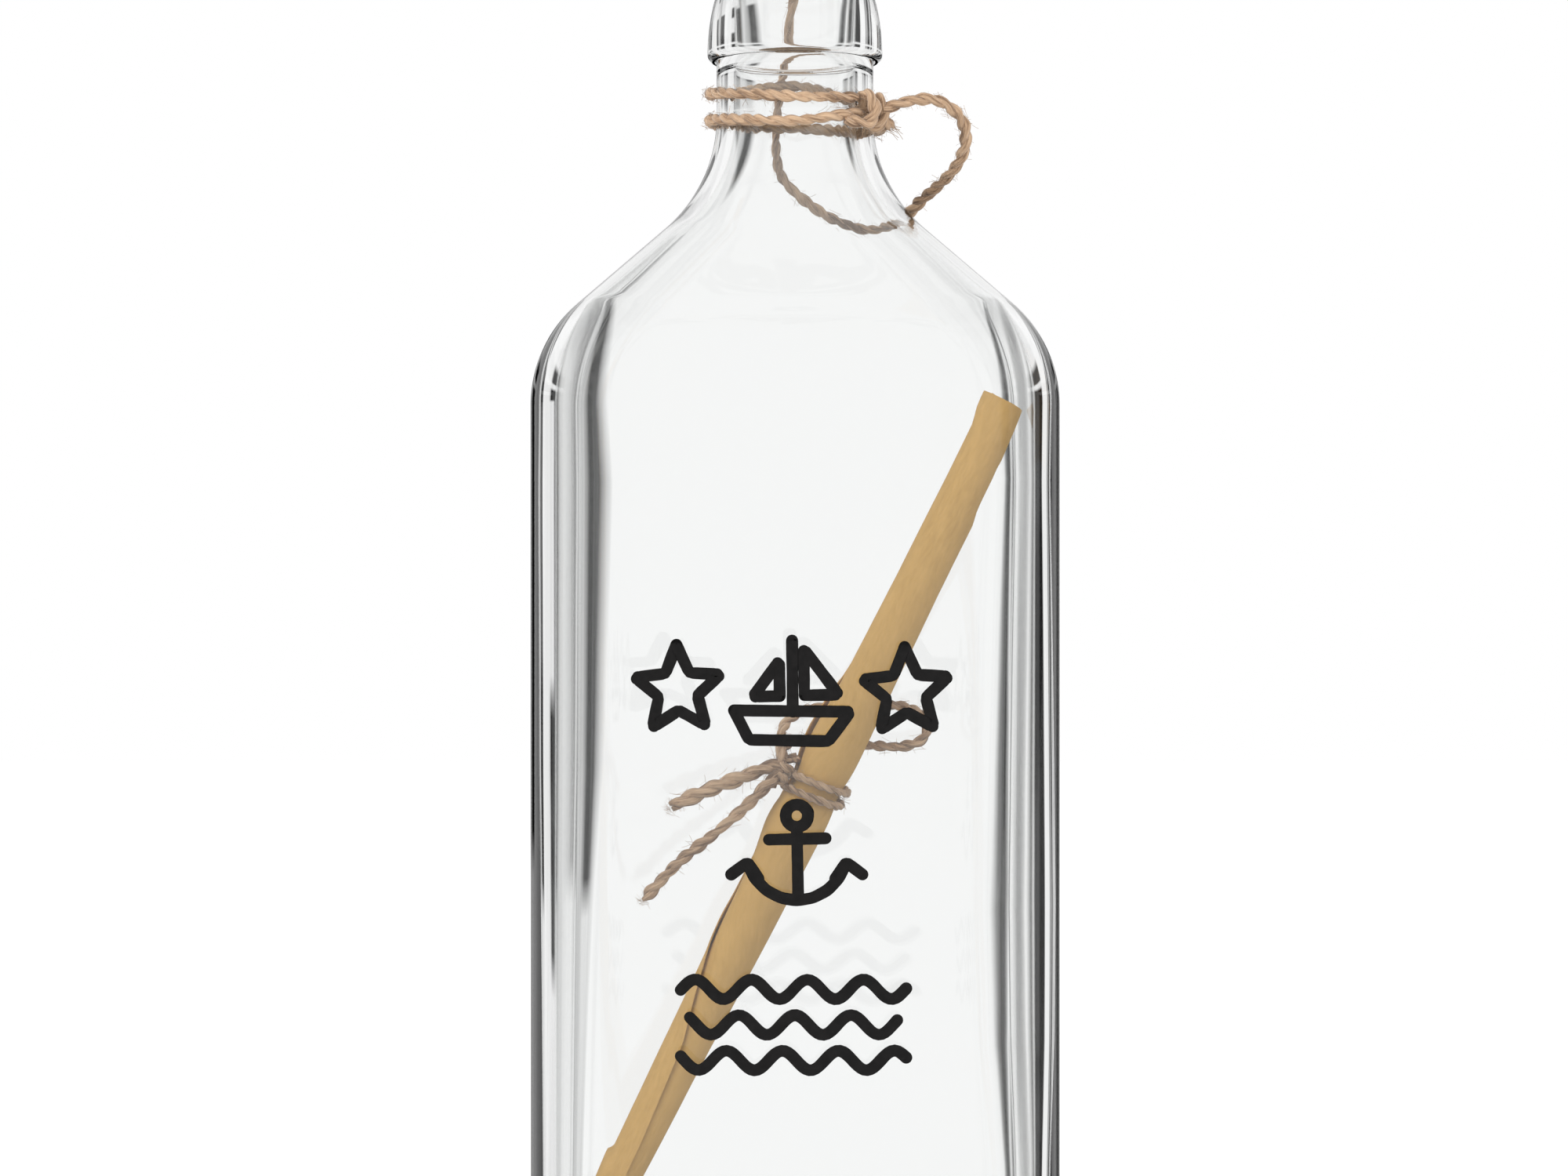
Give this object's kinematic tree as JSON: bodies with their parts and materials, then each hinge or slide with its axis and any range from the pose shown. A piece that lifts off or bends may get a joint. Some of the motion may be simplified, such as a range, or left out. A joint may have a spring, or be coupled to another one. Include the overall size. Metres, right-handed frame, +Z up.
{
  "type": "message in a bottle",
  "caption": "Clear flat-sided glass bottle with a cork stopper, holding a rolled paper message tied with twine, and twine knotted round its neck.",
  "frame": {"origin": "middle of the bottle's base, on the plane it stands on", "axes": "+Z up the bottle through its mouth, -Y out of the front panel, +X to the right seen from the front"},
  "size_m": [0.0802, 0.05, 0.2195],
  "materials": {
    "clear_glass": "clear, polished by moulding, slightly wavy inside",
    "cork": "matt natural cork",
    "kraft_paper": "matt brown kraft paper",
    "jute_twine": "rough two-strand jute",
    "black_ink": "matt black screen print on the front panel"
  },
  "bodies": {
    "bottle": {"bottle": "clear_glass", "neck_twine_turns": "jute_twine", "neck_twine_knot": "jute_twine", "neck_twine_end": "jute_twine"},
    "cork": {"cork_stopper": "cork"},
    "message": {"message_roll": "kraft_paper", "roll_tie_turns": "jute_twine", "roll_tie_knot": "jute_twine", "roll_tie_bow": "jute_twine", "roll_tie_short_end": "jute_twine", "roll_tie_long_end": "jute_twine"}
  },
  "joints": [
    {"name": "cork_pull", "type": "slide", "parent": "bottle", "child": "cork", "axis": [0, 0, 1], "range_m": [0, 0.03]},
    {"name": "message_tip", "type": "hinge", "parent": "bottle", "child": "message", "pos_m": [-0.0304, 0.0025, 0.01], "axis": [0, -1, 0], "range_deg": [0, 11.5]}
  ]
}
